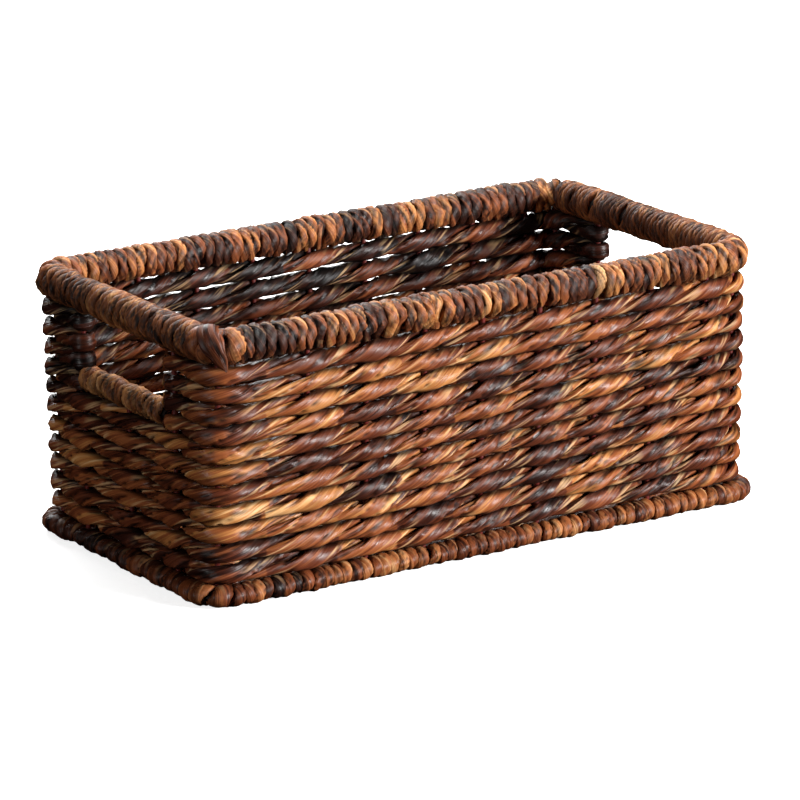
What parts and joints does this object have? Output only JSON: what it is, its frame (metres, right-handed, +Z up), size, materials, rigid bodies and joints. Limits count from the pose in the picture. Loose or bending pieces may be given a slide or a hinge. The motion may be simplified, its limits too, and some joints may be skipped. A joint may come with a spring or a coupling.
{
  "type": "wicker basket",
  "caption": "Open rectangular basket of twined leaf strands on a wire frame, with a wrapped rim and foot and a hand opening in each short end.",
  "frame": {"origin": "middle of the basket's plan at the surface it stands on", "axes": "+X along the basket's length, -Y out of its front long wall, +Z up"},
  "size_m": [0.3936, 0.22, 0.165],
  "materials": {
    "twined_leaf": "matte",
    "rim_wrap": "matte",
    "handle_wrap": "matte",
    "foot_wrap": "matte",
    "frame_wire": "satin"
  },
  "bodies": {
    "root": {"back_stakes": "frame_wire", "base_weave": "twined_leaf", "base_wires": "frame_wire", "binding_tail": "rim_wrap", "corner_stakes": "frame_wire", "foot_binding_back": "foot_wrap", "foot_binding_back_left": "foot_wrap", "foot_binding_back_right": "foot_wrap", "foot_binding_front": "foot_wrap", "foot_binding_front_left": "foot_wrap", "foot_binding_front_right": "foot_wrap", "foot_binding_left": "foot_wrap", "foot_binding_right": "foot_wrap", "foot_hoop_wire": "frame_wire", "front_stakes": "frame_wire", "left_grip_binding": "handle_wrap", "left_handle_posts": "frame_wire", "left_middle_stake": "frame_wire", "left_sill_binding": "handle_wrap", "left_sill_wire": "frame_wire", "right_grip_binding": "handle_wrap", "right_handle_posts": "frame_wire", "right_middle_stake": "frame_wire", "right_sill_binding": "handle_wrap", "right_sill_wire": "frame_wire", "rim_binding_back": "rim_wrap", "rim_binding_back_left": "rim_wrap", "rim_binding_back_right": "rim_wrap", "rim_binding_front": "rim_wrap", "rim_binding_front_left": "rim_wrap", "rim_binding_front_right": "rim_wrap", "rim_hoop_wire": "frame_wire", "weave_row_01": "twined_leaf", "weave_row_02": "twined_leaf", "weave_row_03": "twined_leaf", "weave_row_04": "twined_leaf", "weave_row_05": "twined_leaf", "weave_row_06": "twined_leaf", "weave_row_07": "twined_leaf", "weave_row_08_back": "twined_leaf", "weave_row_08_front": "twined_leaf", "weave_row_09_back": "twined_leaf", "weave_row_09_front": "twined_leaf", "weave_row_10_back": "twined_leaf", "weave_row_10_front": "twined_leaf", "weave_row_11_back": "twined_leaf", "weave_row_11_front": "twined_leaf"}
  },
  "joints": []
}
